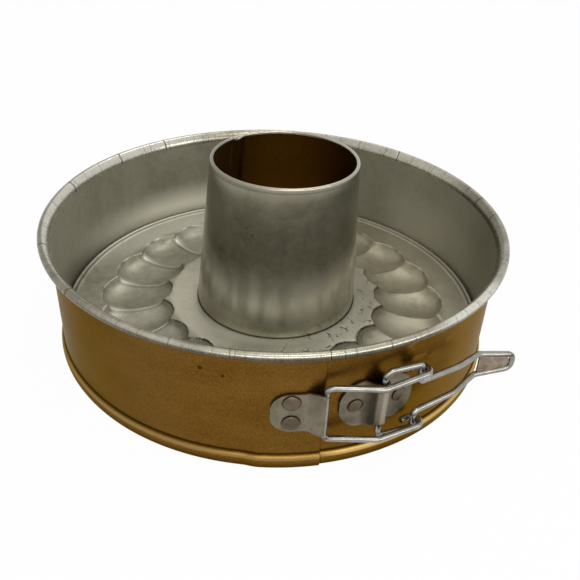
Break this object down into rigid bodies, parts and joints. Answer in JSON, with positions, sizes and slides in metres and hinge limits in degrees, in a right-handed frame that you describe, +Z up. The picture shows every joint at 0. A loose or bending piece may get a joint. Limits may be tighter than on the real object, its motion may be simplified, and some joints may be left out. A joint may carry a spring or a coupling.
{
  "type": "springform bundt pan",
  "caption": "Springform bundt pan with a gold-lacquered steel band, a wire toggle clasp and a lift-out fluted tin base with a tall centre tube.",
  "frame": {"origin": "middle of the pan's footprint, on the surface it stands on", "axes": "+Z up along the tube, -Y towards the band's lap and the clasp, +X to the clasp's right"},
  "size_m": [0.252, 0.2556, 0.1021],
  "materials": {
    "lacquer": "satin gold lacquer on tinplate",
    "tin": "satin tinplate, dulled by use",
    "dull_steel": "dull plated sheet steel",
    "plated_wire": "bright plated steel wire"
  },
  "bodies": {
    "band_right": {"band_right": "lacquer", "saddle_plate": "dull_steel", "saddle_rivet_left": "dull_steel", "saddle_rivet_right": "dull_steel"},
    "band_left": {"band_left": "lacquer", "anchor_plate": "dull_steel", "anchor_rivet_upper": "dull_steel", "anchor_rivet_lower": "dull_steel"},
    "lever": {"lever_wire": "plated_wire", "thumb_plate": "dull_steel"},
    "link": {"link_wire": "plated_wire"},
    "base": {"base_plate": "tin", "centre_tube": "tin"}
  },
  "joints": [
    {"name": "lever_swing", "type": "hinge", "parent": "band_right", "child": "lever", "pos_m": [0.02624, -0.12242, 0.0353], "axis": [0, 0, -1], "range_deg": [0, 165]},
    {"name": "link_swing", "type": "hinge", "parent": "lever", "child": "link", "pos_m": [0.04392, -0.11938, 0.0353], "axis": [0, 0, 1], "range_deg": [0, 148.4]},
    {"name": "band_spring", "type": "hinge", "parent": "band_right", "child": "band_left", "pos_m": [0, 0.126, 0.0353], "axis": [0, 0, -1], "range_deg": [0, 7.8]},
    {"name": "base_lift", "type": "slide", "parent": "band_right", "child": "base", "axis": [0, 0, 1], "range_m": [0, 0.09]}
  ],
  "couplings": [
    {"joint": "link_swing", "follows": "lever_swing", "ratio": 0.89895},
    {"joint": "band_spring", "follows": "lever_swing", "ratio": 0.04672}
  ]
}
